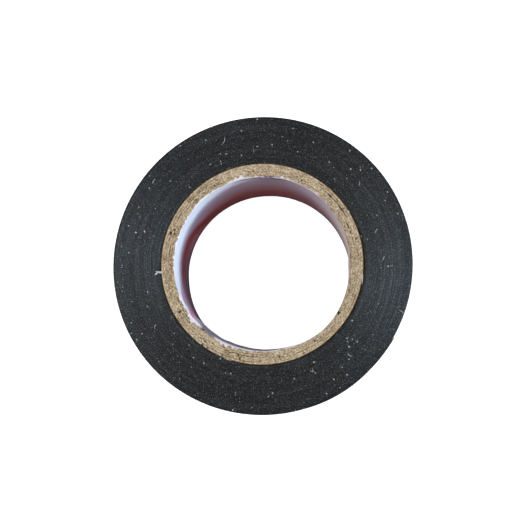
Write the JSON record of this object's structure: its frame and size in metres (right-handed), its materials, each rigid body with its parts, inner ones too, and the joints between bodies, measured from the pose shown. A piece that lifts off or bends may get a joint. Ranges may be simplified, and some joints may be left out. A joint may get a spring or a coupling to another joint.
{
  "type": "electrical tape roll",
  "caption": "Roll of black vinyl electrical insulating tape on a spiral-wound paperboard core with an open bore; its free end peels outward.",
  "frame": {"origin": "on the roll's axis, at the plane of the face that the roll lies on", "axes": "+Z along the bore, out of the upper face; +X and +Y lie in the lower face; the tape is wound anticlockwise seen from +Z and its cut end lies 30 degrees clockwise of +X"},
  "size_m": [0.0545, 0.0546, 0.018],
  "materials": {
    "vinyl_film": "satin",
    "adhesive": "satin",
    "chipboard": "matte",
    "liner_paper": "satin"
  },
  "bodies": {
    "roll": {"core_liner": "liner_paper", "core_ply_1": "chipboard", "core_ply_2": "chipboard", "core_ply_3": "chipboard", "core_ply_4": "chipboard", "core_ply_5": "chipboard", "wound_adhesive": "adhesive", "wound_film": "vinyl_film"},
    "free_end_1": {"end_adhesive_1": "adhesive", "end_film_1": "vinyl_film"},
    "free_end_2": {"end_adhesive_2": "adhesive", "end_film_2": "vinyl_film"},
    "free_end_3": {"end_adhesive_3": "adhesive", "end_film_3": "vinyl_film"},
    "free_end_4": {"end_adhesive_4": "adhesive", "end_film_4": "vinyl_film"},
    "free_end_5": {"end_adhesive_5": "adhesive", "end_film_5": "vinyl_film"},
    "free_end_6": {"end_adhesive_6": "adhesive", "end_film_6": "vinyl_film"}
  },
  "joints": [
    {"name": "peel_1", "type": "hinge", "parent": "roll", "child": "free_end_1", "pos_m": [-0.00133, -0.02731, 0.009], "axis": [0, 0, -1], "range_deg": [0, 18]},
    {"name": "peel_2", "type": "hinge", "parent": "free_end_1", "child": "free_end_2", "pos_m": [0.00366, -0.02711, 0.009], "axis": [0, 0, -1], "range_deg": [0, 18]},
    {"name": "peel_3", "type": "hinge", "parent": "free_end_2", "child": "free_end_3", "pos_m": [0.00853, -0.02599, 0.009], "axis": [0, 0, -1], "range_deg": [0, 18]},
    {"name": "peel_4", "type": "hinge", "parent": "free_end_3", "child": "free_end_4", "pos_m": [0.01311, -0.02402, 0.009], "axis": [0, 0, -1], "range_deg": [0, 18]},
    {"name": "peel_5", "type": "hinge", "parent": "free_end_4", "child": "free_end_5", "pos_m": [0.01726, -0.02124, 0.009], "axis": [0, 0, -1], "range_deg": [0, 18]},
    {"name": "peel_6", "type": "hinge", "parent": "free_end_5", "child": "free_end_6", "pos_m": [0.02084, -0.01775, 0.009], "axis": [0, 0, -1], "range_deg": [0, 18]}
  ],
  "couplings": [
    {"joint": "peel_2", "follows": "peel_1", "ratio": 1},
    {"joint": "peel_3", "follows": "peel_1", "ratio": 1},
    {"joint": "peel_4", "follows": "peel_1", "ratio": 1},
    {"joint": "peel_5", "follows": "peel_1", "ratio": 1},
    {"joint": "peel_6", "follows": "peel_1", "ratio": 1}
  ]
}
